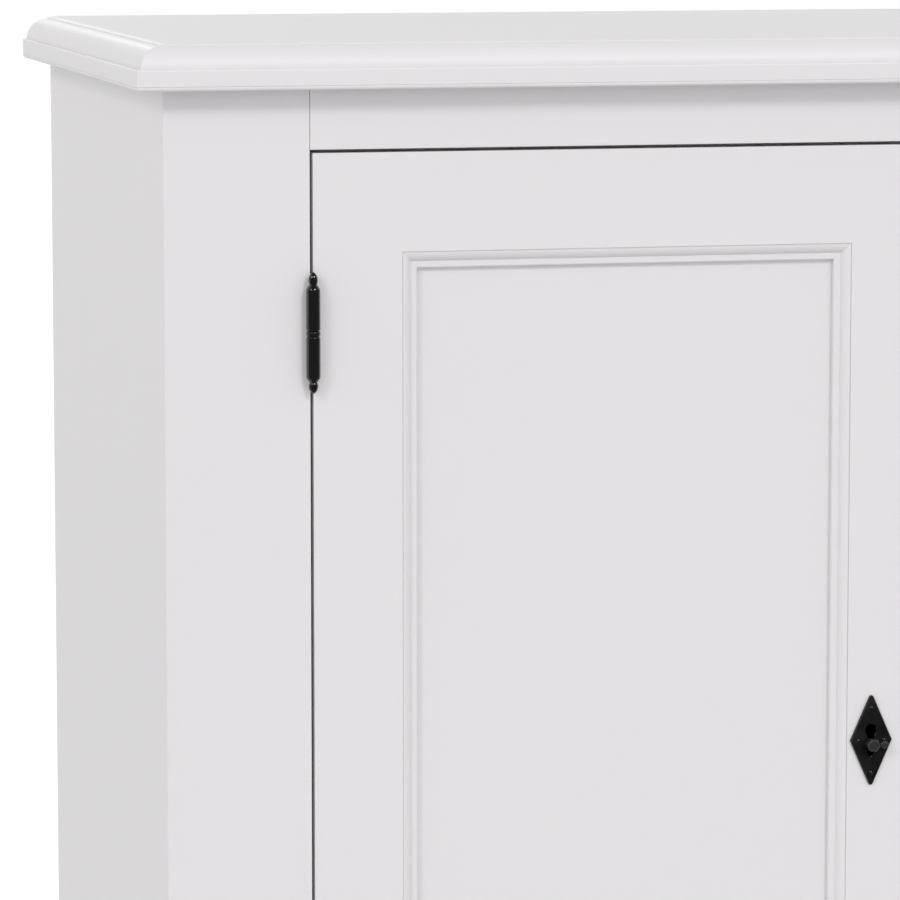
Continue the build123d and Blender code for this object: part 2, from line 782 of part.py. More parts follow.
# Lock bolt: a bar with a notch that the key's bit turns in
notch_half = (bit_far - bit_near) / 2 + lock_notch_play
notch_x = plate_x - lock_bolt_throw / 2
notch_top = key_z + key_bit_radius + lock_notch_room
lock_bolt = block(
    lock_left + lock_wall + lock_bolt_clearance, lock_right - lock_bolt_inset,
    y_cavity + lock_bolt_clearance, y_cover - lock_bolt_clearance, bolt_foot, bolt_head,
)
lock_bolt -= block(notch_x - notch_half, notch_x + notch_half, y_cavity, y_cover, bolt_foot, notch_top)

# Key: six-sided boss with a thumb piece, round shaft and a bit inside the lock
boss_back = y_front - escutcheon_thickness - key_boss_gap
shaft_end = y_cover - lock_bolt_clearance
boss_plane = Plane((plate_x, boss_back, key_z), x_dir=(1, 0, 0), z_dir=(0, -1, 0))
boss = extrude(RegularPolygon(key_boss_width / 2, key_boss_sides, rotation=key_boss_turn), key_boss_length)
boss = chamfer(boss.faces().sort_by(Axis.Z)[-1].edges(), key_boss_bevel)
thumb_lift = (key_boss_length - key_thumb_thickness) / 2
thumb = extrude(Circle(key_thumb_diameter / 2), key_thumb_thickness)
thumb = fillet(thumb.edges().filter_by(GeomType.CIRCLE), key_thumb_round)
thumb = Pos(key_thumb_reach, 0, thumb_lift) * thumb
neck_lift = key_boss_length / 2 - key_neck_width / 2
neck = block(
    0, key_thumb_reach, -key_neck_width / 2, key_neck_width / 2, neck_lift, neck_lift + key_neck_width,
)
shaft = rod((plate_x, boss_back, key_z), (0, 1, 0), key_shaft_diameter, shaft_end - boss_back)
bit = block(
    -key_bit_thickness / 2, key_bit_thickness / 2,
    y_cavity + lock_bolt_clearance, shaft_end, 0, key_bit_radius,
)
bit = Pos(plate_x, 0, key_z) * Rot(0, -key_bit_angle, 0) * bit
key = boss_plane * (boss + neck + thumb) + shaft + bit

# Keep behind the right door, opposite the lock bolt
keep_left = -door_right + keep_setback
keep_right = keep_left + keep_length
keep_bottom = bolt_foot - keep_pocket_clearance - keep_wall
keep_top = bolt_head + keep_pocket_clearance + keep_wall
keep = block(keep_left, keep_right, y_door, y_cover + lock_cover_thickness, keep_bottom, keep_top)
keep -= block(
    keep_left, keep_right - keep_wall, y_cavity + lock_bolt_clearance - keep_pocket_clearance,
    y_cover - lock_bolt_clearance + keep_pocket_clearance,
    bolt_foot - keep_pocket_clearance, bolt_head + keep_pocket_clearance,
)
keep += block(keep_left, keep_right, y_door, y_cavity, keep_bottom - lock_flange, keep_top + lock_flange)
keep_x = (keep_left + keep_right) / 2
right_screw_spots = [
    (keep_x, y_cavity, keep_bottom - lock_flange / 2),
    (keep_x, y_cavity, keep_top + lock_flange / 2),
]

# Slide bolts behind the right door: a plate with two bridges, and a flat bar with a knob
y_plate = y_door + slide_plate_thickness


def slide_plate(top, up):
    """The plate and its bridges; top is the end nearest to the stop, up is the way the bolt throws."""
    foot = top - slide_plate_length * up
    shape = block(
        bolt_x - slide_plate_width / 2, bolt_x + slide_plate_width / 2, y_door, y_plate, foot, top,
    )
    inner = slide_bolt_width / 2 + slide_bolt_clearance
    outer = inner + slide_bridge_wall
    crest = bolt_y + slide_bolt_thickness + slide_bolt_clearance
    for start in (top - slide_bridge_inset * up, foot + (slide_bridge_inset + slide_bridge_length) * up):
        end = start - slide_bridge_length * up
        shape += block(bolt_x - outer, bolt_x + outer, y_plate, crest + slide_bridge_wall, start, end)
        shape -= block(bolt_x - inner, bolt_x + inner, y_plate, crest, start, end)
    return shape


def slide_bar(end, up):
    """The bar, with its end just short of the stop, and the knob between the bridges."""
    foot = end - slide_bolt_length * up
    bar = block(
        bolt_x - slide_bolt_width / 2, bolt_x + slide_bolt_width / 2,
        bolt_y, bolt_y + slide_bolt_thickness, foot, end,
    )
    to_plate = slide_plate_setback - slide_bolt_retreat
    middle = end - (to_plate + slide_plate_length / 2 + slide_bolt_throw / 2) * up
    grip = rod(
        (bolt_x, bolt_y + slide_bolt_thickness, middle), (0, 1, 0), slide_knob_diameter, slide_knob_height,
    )
    rim = grip.edges().filter_by(GeomType.CIRCLE).sort_by(Axis.Y)[-1]
    return bar + fillet(rim, slide_knob_round)


for name, stop, up in (("upper", stop_bottom, 1), ("lower", bottom_top, -1)):
    plate_end = stop - slide_plate_setback * up
    plate = slide_plate(plate_end, up)
    for x in (bolt_x - slide_plate_width / 2 + screw_edge, bolt_x + slide_plate_width / 2 - screw_edge):
        for inset in (screw_edge, slide_plate_length - screw_edge):
            right_screw_spots.append((x, y_plate, plate_end - inset * up))
            plate -= screw_hole(right_screw_spots[-1], (0, -1, 0))
    nodes[f"{name}_bolt_plate"] = plate
    nodes[f"{name}_bolt"] = slide_bar(stop - slide_bolt_retreat * up, up)

right_meeting_stile = flip(meeting_stile)
for spot in right_screw_spots:
    keep -= screw_hole(spot, (0, -1, 0))
    right_meeting_stile -= screw_hole(spot, (0, -1, 0))
    door_screws["right"].append(screw(spot, (0, -1, 0)))

# Doors as sets of pieces
nodes["left_door_hinge_stile"] = hinge_stile
nodes["left_door_lock_stile"] = lock_stile
nodes["right_door_hinge_stile"] = flip(hinge_stile)
nodes["right_door_meeting_stile"] = right_meeting_stile
for hand, turn in hands.items():
    nodes[f"{hand}_door_top_rail"] = turn(top_rail)
    nodes[f"{hand}_door_bottom_rail"] = turn(bottom_rail)
    nodes[f"{hand}_door_panel"] = turn(panel)
    nodes[f"{hand}_panel_moulding"] = group([turn(strip) for strip in strips])
    nodes[f"{hand}_escutcheon"] = turn(escutcheon)
    nodes[f"{hand}_escutcheon_nails"] = group([turn(one) for one in nails])
    nodes[f"{hand}_door_screws"] = group(door_screws[hand])
nodes["lock_case"] = lock_case
nodes["lock_cover"] = lock_cover
nodes["lock_bolt"] = lock_bolt
nodes["key"] = key
nodes["bolt_keep"] = keep

os.makedirs("parts", exist_ok=True)
for name, shape in nodes.items():
    export_step(shape, f"parts/{name}.step")
print(len(nodes), "nodes")
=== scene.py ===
import bmesh
import bpy
import json
from math import asin, cos, radians, sin
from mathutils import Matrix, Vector

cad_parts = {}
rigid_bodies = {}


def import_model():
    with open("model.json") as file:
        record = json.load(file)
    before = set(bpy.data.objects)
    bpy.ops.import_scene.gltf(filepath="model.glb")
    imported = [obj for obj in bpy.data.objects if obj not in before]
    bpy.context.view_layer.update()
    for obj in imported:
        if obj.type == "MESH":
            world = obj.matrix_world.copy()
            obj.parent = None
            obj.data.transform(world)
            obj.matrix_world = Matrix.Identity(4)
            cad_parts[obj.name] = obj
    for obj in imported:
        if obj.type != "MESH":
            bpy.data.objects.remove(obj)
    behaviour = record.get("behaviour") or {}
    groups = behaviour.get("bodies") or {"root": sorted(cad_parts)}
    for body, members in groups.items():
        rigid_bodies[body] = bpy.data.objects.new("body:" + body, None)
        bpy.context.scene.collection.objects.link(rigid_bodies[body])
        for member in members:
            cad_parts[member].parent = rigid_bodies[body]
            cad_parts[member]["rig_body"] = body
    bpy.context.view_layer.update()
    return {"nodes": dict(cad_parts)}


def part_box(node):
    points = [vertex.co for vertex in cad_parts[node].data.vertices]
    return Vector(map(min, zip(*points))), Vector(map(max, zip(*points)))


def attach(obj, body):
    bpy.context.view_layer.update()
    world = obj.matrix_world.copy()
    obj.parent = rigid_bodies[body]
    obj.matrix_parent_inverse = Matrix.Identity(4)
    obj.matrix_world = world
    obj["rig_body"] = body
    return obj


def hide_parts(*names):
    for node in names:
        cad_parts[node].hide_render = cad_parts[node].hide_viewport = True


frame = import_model()


# Sides of the carcass: two wide boards that stand on the floor, rebated at the back for the panel.
# Sprayed with white satin lacquer, painted a little paler along the arrises as a painted highlight. The
# front edge is glued flush to the corner post and filled, so no joint shows there.
lacquer_white = (0.765, 0.748, 0.762, 1.0)
# The paler colour painted along the lacquer's arrises: a painted highlight.
lacquer_arris_highlight = (0.88, 0.87, 0.88, 1.0)
board_ease = 0.0009
arris_angle = radians(35)
flat_angle = radians(0.5)
shortest_arris = 0.003
weld_distance = 0.000002
flush_tolerance = 0.00005


def add_node(tree, kind, inputs=None, **settings):
    """One shader node; a socket among its inputs is linked, anything else is set as its value."""
    made = tree.nodes.new(kind)
    for name, value in settings.items():
        setattr(made, name, value)
    for name, value in (inputs or {}).items():
        if isinstance(value, bpy.types.NodeSocket):
            tree.links.new(value, made.inputs[name])
        else:
            made.inputs[name].default_value = value
    return made


def surface_film():
    """The thin top of a finish: clouded tone, arrises painted paler in patches as painted highlight and as
    wear, uneven gloss and a fine grain.
    """
    film = bpy.data.node_groups.new("surface_film", "ShaderNodeTree")
    for name, kind in (
        ("Colour", "NodeSocketColor"), ("Arris highlight and wear colour", "NodeSocketColor"), ("Arris highlight and wear", "NodeSocketFloat"),
        ("Tone spread", "NodeSocketFloat"), ("Cloud size", "NodeSocketFloat"),
        ("Gloss", "NodeSocketFloat"), ("Gloss spread", "NodeSocketFloat"),
        ("Grain size", "NodeSocketFloat"), ("Grain run", "NodeSocketVector"),
    ):
        film.interface.new_socket(name, in_out="INPUT", socket_type=kind)
    for name, kind in (
        ("Colour", "NodeSocketColor"), ("Roughness", "NodeSocketFloat"), ("Height", "NodeSocketFloat"),
    ):
        film.interface.new_socket(name, in_out="OUTPUT", socket_type=kind)
    given = add_node(film, "NodeGroupInput").outputs
    place = add_node(film, "ShaderNodeTexCoord").outputs["Object"]
    clouds = add_node(film, "ShaderNodeTexNoise", {
        "Vector": place, "Scale": given["Cloud size"], "Detail": 3.0,
    }).outputs["Fac"]
    spread = add_node(film, "ShaderNodeMath", {0: given["Tone spread"], 1: 2.0}, operation="MULTIPLY")
    tone = add_node(film, "ShaderNodeMath", {0: clouds, 1: 0.5}, operation="SUBTRACT")
    tone = add_node(film, "ShaderNodeMath", {
        0: tone.outputs[0], 1: spread.outputs[0], 2: 1.0,
    }, operation="MULTIPLY_ADD")
    toned = add_node(film, "ShaderNodeVectorMath", {
        0: given["Colour"], "Scale": tone.outputs[0],
    }, operation="SCALE")
    arris = add_node(film, "ShaderNodeAttribute", attribute_name="arris").outputs["Fac"]
    patches = add_node(film, "ShaderNodeTexNoise", {
        "Vector": place, "Scale": 38.0, "Detail": 2.0,
    }).outputs["Fac"]
    # Arrises painted paler in patches, as painted highlight and as wear.
    highlight_and_wear = add_node(film, "ShaderNodeMath", {0: arris, 1: given["Arris highlight and wear"]}, operation="MULTIPLY")
    highlight_and_wear = add_node(film, "ShaderNodeMath", {0: highlight_and_wear.outputs[0], 1: patches}, operation="MULTIPLY")
    highlit_and_worn = add_node(film, "ShaderNodeMix", {
        0: highlight_and_wear.outputs[0], "A": toned.outputs[0], "B": given["Arris highlight and wear colour"],
    }, data_type="RGBA")
    stretched = add_node(film, "ShaderNodeVectorMath", {
        0: place, 1: given["Grain run"],
    }, operation="MULTIPLY")
    grain = add_node(film, "ShaderNodeTexNoise", {
        "Vector": stretched.outputs[0], "Scale": given["Grain size"], "Detail": 2.0,
    }).outputs["Fac"]
    gloss = add_node(film, "ShaderNodeMath", {0: patches, 1: 0.5}, operation="SUBTRACT")
    gloss = add_node(film, "ShaderNodeMath", {
        0: gloss.outputs[0], 1: given["Gloss spread"], 2: given["Gloss"],
    }, operation="MULTIPLY_ADD")
    add_node(film, "NodeGroupOutput", {
        "Colour": highlit_and_worn.outputs["Result"], "Roughness": gloss.outputs[0], "Height": grain,
    })
    return film


film_group = surface_film()


def finish(name, film, bump_depth, shader):
    """A material: the surface film with its own values, and plain numbers on the shader's own sockets."""
    material = bpy.data.materials.new(name)
    material.use_nodes = True
    tree = material.node_tree
    tree.nodes.clear()
    skin = add_node(tree, "ShaderNodeGroup", node_tree=film_group)
    for socket, value in film.items():
        skin.inputs[socket].default_value = value
    relief = add_node(tree, "ShaderNodeBump", {
        "Height": skin.outputs["Height"], "Strength": 1.0, "Distance": bump_depth,
    })
    surface = add_node(tree, "ShaderNodeBsdfPrincipled", {
        "Base Color": skin.outputs["Colour"], "Roughness": skin.outputs["Roughness"],
        "Normal": relief.outputs["Normal"], **shader,
    })
    add_node(tree, "ShaderNodeOutputMaterial", {"Surface": surface.outputs["BSDF"]})
    return material


white_lacquer = finish("white_lacquer", {
    "Colour": lacquer_white, "Arris highlight and wear colour": lacquer_arris_highlight, "Arris highlight and wear": 0.3,
    "Tone spread": 0.008, "Cloud size": 3.5, "Gloss": 0.42, "Gloss spread": 0.06,
    "Grain size": 620.0, "Grain run": (1.0, 1.0, 1.0),
}, bump_depth=0.00001, shader={"Specular IOR Level": 0.4})


def is_arris(edge, flush, shortest):
    """True for a sharp outward edge that isn't in the plane of a flush joint."""
    if len(edge.link_faces) != 2 or not edge.is_convex or edge.calc_face_angle() < arris_angle:
        return False
    in_joint = any(
        all(abs(end.co[axis] - level) < flush_tolerance for end in edge.verts) for axis, level in flush
    )
    return edge.calc_length() >= shortest and not in_joint


def copied(node):
    """A CAD node's shape, welded and with its flat faces whole."""
    shape = bmesh.new()
    shape.from_mesh(frame["nodes"][node].data)
    bmesh.ops.remove_doubles(shape, verts=shape.verts, dist=weld_distance)
    bmesh.ops.dissolve_limit(shape, angle_limit=flat_angle, verts=shape.verts, edges=shape.edges)
    return shape


def touching(edges):
    """Edges that touch each other, gathered into groups."""
    waiting = {edge.index: edge for edge in edges}
    while waiting:
        group = [waiting.pop(next(iter(waiting)))]
        for edge in group:
            for vert in edge.verts:
                group += [waiting.pop(near.index) for near in vert.link_edges if near.index in waiting]
        yield group


def eased(node, ease, flush=(), shortest=shortest_arris, shape=None, chosen=None):
    """A CAD node's shape with its arrises rounded; the middle of each rounding is marked as arris."""
    shape = shape or copied(node)
    mark = shape.verts.layers.float.get("arris") or shape.verts.layers.float.new("arris")
    shape.edges.index_update()
    edges = [edge for edge in shape.edges if is_arris(edge, flush, shortest)]
    if chosen:
        edges = [edge for edge in edges if chosen(edge)]
    for group in list(touching(edges)):
        made = bmesh.ops.bevel(
            shape, geom=[edge for edge in group if edge.is_valid], offset=ease, offset_type="OFFSET",
            segments=3, profile=0.5, affect="EDGES", clamp_overlap=True,
        )
        roundings = set(made["faces"])
        for vert in made["verts"]:
            vert[mark] = 1.0 if all(face in roundings for face in vert.link_faces) else 0.0
    bmesh.ops.remove_doubles(shape, verts=shape.verts, dist=weld_distance)
    bmesh.ops.dissolve_degenerate(shape, dist=weld_distance, edges=shape.edges)
    return shape


def show(shape, node, material, other=None, has_other=None):
    """Makes the finished piece that stands for a CAD node, and lets it ride where the node rides."""
    for face in shape.faces:
        face.smooth = True
        face.material_index = 1 if other and has_other(face) else 0
    for edge in shape.edges:
        flat = len(edge.link_faces) == 2 and edge.calc_face_angle() < arris_angle
        edge.smooth = flat and not edge.seam
    mesh = bpy.data.meshes.new("finished_" + node)
    shape.to_mesh(mesh)
    shape.free()
    mesh.materials.append(material)
    if other:
        mesh.materials.append(other)
    piece = bpy.data.objects.new("finished_" + node, mesh)
    bpy.context.scene.collection.objects.link(piece)
    piece.modifiers.new("flat_faces", "WEIGHTED_NORMAL").keep_sharp = True
    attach(piece, frame["nodes"][node]["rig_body"])
    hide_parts(node)


frame_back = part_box("left_post")[1].y
for node in ("left_side", "right_side"):
    show(eased(node, board_ease, flush=[(1, frame_back)]), node, white_lacquer)


# Bottom board, middle partition, shelves, cleat and door stop: plain boards housed or laid in the carcass.
# The same lacquer, a little duller, because nobody rubs down the inside as finely.
inside_lacquer = finish("inside_lacquer", {
    "Colour": (0.745, 0.73, 0.742, 1.0), "Arris highlight and wear colour": lacquer_arris_highlight, "Arris highlight and wear": 0.6,
    "Tone spread": 0.015, "Cloud size": 5.0, "Gloss": 0.52, "Gloss spread": 0.08,
    "Grain size": 420.0, "Grain run": (1.0, 1.0, 1.0),
}, bump_depth=0.00002, shader={"Specular IOR Level": 0.4})
for node in (
    "bottom_board", "centre_partition", "lower_shelf", "middle_shelf", "upper_shelf", "hat_shelf",
    "hat_shelf_cleat", "door_stop",
):
    show(eased(node, board_ease), node, inside_lacquer)


# Back panel: thin plywood pinned into the rebates of the sides. It only has one rolled coat of primer, so
# it is greyer than the rest and the face grain shows through as faint upright streaks.
panel_primer = finish("panel_primer", {
    "Colour": (0.66, 0.648, 0.652, 1.0), "Arris highlight and wear colour": (0.74, 0.73, 0.735, 1.0), "Arris highlight and wear": 0.4,
    "Tone spread": 0.05, "Cloud size": 4.0, "Gloss": 0.62, "Gloss spread": 0.1,
    "Grain size": 160.0, "Grain run": (1.0, 1.0, 0.03),
}, bump_depth=0.0001, shader={"Specular IOR Level": 0.3})
show(eased("back_panel", board_ease), "back_panel", panel_primer)


# Corner posts and face-frame rails: solid boards, the rails tenoned into the posts. The outer corner is
# rounded, and where a rail's shoulder meets a post the joint has opened to a hairline.
joint_ease = 0.0005
shoulder_gap = 0.0004
for node in ("left_post", "right_post"):
    show(eased(node, joint_ease, flush=[(1, frame_back)]), node, white_lacquer)
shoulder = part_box("right_post")[0].x
for node in ("top_rail", "bottom_rail"):
    shape = copied(node)
    for vert in shape.verts:
        if abs(abs(vert.co.x) - shoulder) < flush_tolerance:
            vert.co.x *= 1 - shoulder_gap / shoulder
    show(eased(node, joint_ease, shape=shape), node, white_lacquer)


# Moulded top board: one thick board with a quirked fillet, a ledge, an ovolo and a soft roll over it,
# worked on its front and both ends, which meet like mitres at the corners. Lacquered with the carcass
# and screwed on from below.
lower_round = 0.0024
lower_quirk = 0.0006
fillet_height = 0.0165
fillet_ease = 0.0014
ledge = 0.0035
ovolo_width = 0.0185
ovolo_height = 0.0176
roll_width = 0.006
mitre_round = 0.0009


def arc(centre, radii, start, end, steps):
    """Points on an elliptical arc, both ends included; angles in degrees."""
    angles = [radians(start + (end - start) * step / steps) for step in range(steps + 1)]
    return [(centre[0] + radii[0] * cos(a), centre[1] + radii[1] * sin(a)) for a in angles]


def top_edge(thickness):
    """The worked edge: inset from the outer face, then height above the underside."""
    ovolo_end = ledge + ovolo_width
    roll_foot = fillet_height + ovolo_height
    return (
        arc((lower_round, lower_round), (lower_round, lower_round), 270, 180, steps=6)
        + [(lower_quirk, lower_round + lower_quirk), (0.0, lower_round + 2 * lower_quirk)]
        + arc((fillet_ease, fillet_height - fillet_ease), (fillet_ease, fillet_ease), 180, 90, steps=4)
        + arc((ovolo_end, fillet_height), (ovolo_width, ovolo_height), 180, 90, steps=16)
        + arc((ovolo_end + roll_width, roll_foot), (roll_width, thickness - roll_foot), 180, 90, steps=12)
    )


def rounded_corner(x, y, into_x, into_y):
    """A corner of the board's outline, turned with a small radius."""
    centre = (x + mitre_round * into_x, y + mitre_round * into_y)
    from_angle = 180 if into_x > 0 else 270
    return arc(centre, (mitre_round, mitre_round), from_angle, from_angle + 90, steps=4)


def moulded_board(node):
    """The board as rings round its outline, one for each point of the worked edge, closed at the back."""
    low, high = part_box(node)
    shape = bmesh.new()
    mark = shape.verts.layers.float.new("arris")
    rings = []
    for inset, height in top_edge(high.z - low.z):
        outline = [(low.x + inset, high.y)]
        outline += rounded_corner(low.x + inset, low.y + inset, 1, 1)
        outline += rounded_corner(high.x - inset, low.y + inset, -1, 1)
        outline += [(high.x - inset, high.y)]
        ring = [shape.verts.new((x, y, low.z + height)) for x, y in outline]
        # The fillet's top arris is marked, so the lacquer paints a paler highlight line along it.
        on_arris = 0.0 < inset < fillet_ease and height > fillet_height / 2
        for vert in ring:
            vert[mark] = 1.0 if on_arris else 0.0
        rings.append(ring)
    for below, above in zip(rings, rings[1:]):
        for here in range(len(below) - 1):
            shape.faces.new((below[here], below[here + 1], above[here + 1], above[here]))
    shape.faces.new(rings[-1])
    shape.faces.new(rings[0][::-1])
    shape.faces.new([ring[0] for ring in rings] + [ring[-1] for ring in rings[::-1]])
    bmesh.ops.recalc_face_normals(shape, faces=shape.faces)
    return shape


show(moulded_board("top_board"), "top_board", white_lacquer)


# Plinth skirting: three boards with a rounded top edge, mitred at the front corners and pinned to the
# posts and sides. Lacquered like the frame.
for node in ("plinth_front", "plinth_left", "plinth_right"):
    show(eased(node, joint_ease), node, white_lacquer)


# Doors: grooved stiles with stub-tenoned rails round a flat panel, hung flush in the face frame. The
# joints are filled and painted over, so only the outer arrises are eased. The keyhole's walls are painted
# near-black as painted shade, and so is the wood behind the right plate's blind keyhole.
door_ease = 0.0006
facing_share = 0.5
patch_margin = 0.29
# Near-black painted shade for the keyhole's walls and for the wood behind the blind keyhole.
keyhole_painted_shade = finish("keyhole_painted_shade", {
    "Colour": (0.012, 0.010, 0.009, 1.0), "Arris highlight and wear colour": (0.03, 0.025, 0.02, 1.0), "Arris highlight and wear": 0.3,
    "Tone spread": 0.4, "Cloud size": 160.0, "Gloss": 0.8, "Gloss spread": 0.1,
    "Grain size": 900.0, "Grain run": (1.0, 0.1, 1.0),
}, bump_depth=0.00004, shader={"Specular IOR Level": 0.1})
plate_low, plate_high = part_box("left_escutcheon")
blind_low, blind_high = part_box("right_escutcheon")
patch_low = blind_low.lerp(blind_high, patch_margin)
patch_high = blind_low.lerp(blind_high, 1 - patch_margin)


def in_keyhole(face):
    """True for the walls of the hole that the key goes through, which get near-black painted shade."""
    spot = face.calc_center_median()
    behind_plate = plate_low.x < spot.x < plate_high.x and plate_low.z < spot.z < plate_high.z
    return behind_plate and abs(face.normal.y) < facing_share


def faces_front(face):
    """True for a face turned to the front of the cabinet."""
    return face.normal.y < -facing_share


def in_blind_patch(face):
    """True for the wood that shows through the right plate's keyhole, which gets near-black painted shade.
    """
    spot = face.calc_center_median()
    in_patch = patch_low.x < spot.x < patch_high.x and patch_low.z < spot.z < patch_high.z
    return in_patch and faces_front(face)


def scored(shape):
    """Marks the edges of the blind patch of painted shade on the stile without changing its form."""
    for corner in (patch_low, patch_high):
        for across in (Vector((1, 0, 0)), Vector((0, 0, 1))):
            everything = shape.verts[:] + shape.edges[:] + shape.faces[:]
            bmesh.ops.bisect_plane(shape, geom=everything, plane_co=corner, plane_no=across)
    return shape


for hand in ("left", "right"):
    low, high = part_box(hand + "_panel_moulding")
    seams = [(0, low.x), (0, high.x)]
    stiles = ("hinge_stile", "lock_stile" if hand == "left" else "meeting_stile")
    for part in stiles + ("top_rail", "bottom_rail"):
        node = f"{hand}_door_{part}"
        shape = eased(node, door_ease, flush=seams)
        if part == "lock_stile":
            show(shape, node, white_lacquer, keyhole_painted_shade, in_keyhole)
        elif part == "meeting_stile":
            show(scored(shape), node, white_lacquer, keyhole_painted_shade, in_blind_patch)
        else:
            show(shape, node, white_lacquer)
    node = hand + "_door_panel"
    show(eased(node, joint_ease), node, white_lacquer)


# Panel moulding: a planted strip with a quirk, an ovolo and a flat bead, mitred at the four corners and
# pinned into the corner between the frame and the panel. Lacquered with the door.
quirk_width = 0.0005
quirk_depth = 0.0004
strip_ovolo_width = 0.0070
strip_ovolo_depth = 0.0049
strip_ovolo_bulge = 0.0010
bead_width = 0.0057
bead_step = 0.0002
bead_round = 0.0016


def bulged(start, end, bulge, steps):
    """Points on a circular arc that bulges to the left of the way from start to end, both included."""
    start = Vector(start)
    way = Vector(end) - start
    radius = bulge / 2 + way.length ** 2 / (8 * bulge)
    outward = Vector((-way.y, way.x)).normalized()
    centre = start + way / 2 + outward * (bulge - radius)
    half = asin(way.length / 2 / radius)
    angles = [half * (2 * step / steps - 1) for step in range(steps + 1)]
    along = way.normalized()
    return [tuple(centre + radius * (cos(a) * outward + sin(a) * along)) for a in angles]


def strip_section(crown):
    """The strip's outline: across from the frame's edge, then height above the panel."""
    valley = (quirk_width + strip_ovolo_width, crown - strip_ovolo_depth)
    bead_top = valley[1] - bead_step
    bead_end = valley[0] + bead_width
    return (
        [(0.0, 0.0), (0.0, crown - quirk_depth), (quirk_width, crown - quirk_depth)]
        + bulged((quirk_width, crown), valley, strip_ovolo_bulge, steps=14)
        + [(valley[0], bead_top)]
        + arc((bead_end - bead_round, bead_top - bead_round), (bead_round, bead_round), 90, 0, steps=8)
        + [(bead_end, 0.0)]
    )


def mitred_strips(node):
    """The four strips as a ring of rectangles, one for each point of the section, with sharp mitres."""
    low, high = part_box(node)
    shape = bmesh.new()
    rings = []
    for across, height in strip_section(high.y - low.y):
        corners = (
            (low.x + across, low.z + across), (high.x - across, low.z + across),
            (high.x - across, high.z - across), (low.x + across, high.z - across),
        )
        rings.append([shape.verts.new((x, high.y - height, z)) for x, z in corners])
    for outer, inner in zip(rings, rings[1:] + rings[:1]):
        for here in range(4):
            after = (here + 1) % 4
            shape.faces.new((outer[here], outer[after], inner[after], inner[here]))
        for here in range(4):
            shape.edges.get((outer[here], inner[here])).seam = True
    bmesh.ops.recalc_face_normals(shape, faces=shape.faces)
    return shape


for hand in ("left", "right"):
    node = hand + "_panel_moulding"
    show(mitred_strips(node), node, white_lacquer)


# Finial hinges: turned barrels with acorn ends on flat leaves, let into the post and the stile and
# screwed. Mild steel, stoved gloss black, with a loose ring between the two halves.
barrel_ease = 0.0012
leaf_ease = 0.0003
ring_ease = 0.0014
shortest_on_metal = 0.0002
rim_within = 0.8
rim_beyond = 1.1
black_stove = finish("black_stove", {
    "Colour": (0.004, 0.004, 0.0042, 1.0), "Arris highlight and wear colour": (0.012, 0.012, 0.012, 1.0), "Arris highlight and wear": 0.5,
    "Tone spread": 0.15, "Cloud size": 120.0, "Gloss": 0.13, "Gloss spread": 0.05,
    "Grain size": 1500.0, "Grain run": (1.0, 1.0, 1.0),
}, bump_depth=0.000004, shader={"Specular IOR Level": 1.0})
ring_low, ring_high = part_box("hinge_rings")
ring_radius = (ring_high.y - ring_low.y) / 2


def on_barrel_rim(edge):
    """True for the level edges round the ends of a barrel."""
    start, end = (vert.co for vert in edge.verts)
    axis_x = ring_low.x + ring_radius if start.x < 0 else ring_high.x - ring_radius
    axis = Vector((axis_x, ring_low.y + ring_radius))
    out = [(spot.xy - axis).length / ring_radius for spot in (start, end)]
    return abs(start.z - end.z) < flush_tolerance and rim_within < min(out) and max(out) < rim_beyond


for hand in ("left", "right"):
    for place in ("upper", "lower"):
        for half in ("post_half", "door_half"):
            node = f"{hand}_{place}_hinge_{half}"
            shape = eased(node, barrel_ease, shortest=shortest_on_metal, chosen=on_barrel_rim)
            shape = eased(node, leaf_ease, shortest=shortest_on_metal, shape=shape)
            show(shape, node, black_stove)
shape = eased("hinge_rings", ring_ease, shortest=shortest_on_metal)
show(shape, "hinge_rings", black_stove)


# Escutcheons and their nails: lozenge plates cut from sheet steel and painted satin black, each held by
# four round-headed nails. The filed bevels and the rims of the nails are painted a little paler, as a
# painted highlight.
plate_ease = 0.00025
nail_ease = 0.0002
bevel_flattest = 0.95
bevel_steepest = 0.3
black_satin = finish("black_satin", {
    "Colour": (0.008, 0.008, 0.0082, 1.0), "Arris highlight and wear colour": (0.05, 0.05, 0.05, 1.0), "Arris highlight and wear": 0.3,
    "Tone spread": 2.2, "Cloud size": 48.0, "Gloss": 0.36, "Gloss spread": 0.1,
    "Grain size": 1300.0, "Grain run": (1.0, 1.0, 1.0),
}, bump_depth=0.000006, shader={"Specular IOR Level": 0.3})
# Paler black: painted highlight on the plates' bevels and the nails' rims, and wear on the key.
worn_and_highlit_black = finish("worn_and_highlit_black", {
    "Colour": (0.028, 0.028, 0.029, 1.0), "Arris highlight and wear colour": (0.07, 0.07, 0.07, 1.0), "Arris highlight and wear": 1.2,
    "Tone spread": 0.3, "Cloud size": 220.0, "Gloss": 0.34, "Gloss spread": 0.15,
    "Grain size": 1800.0, "Grain run": (1.0, 1.0, 1.0),
}, bump_depth=0.000008, shader={"Specular IOR Level": 0.4})


def on_bevel(face):
    """True for the sloping faces round the outline of a plate, not for those round its keyhole; they get a
    paler painted highlight.
    """
    outward = face.calc_center_median() - plate_middle
    sloping = bevel_steepest < -face.normal.y < bevel_flattest
    return sloping and outward.x * face.normal.x + outward.z * face.normal.z > 0


def on_nail_rim(face):
    """True for the steep lower edge of a nail head, which gets a paler painted highlight."""
    return not faces_front(face)


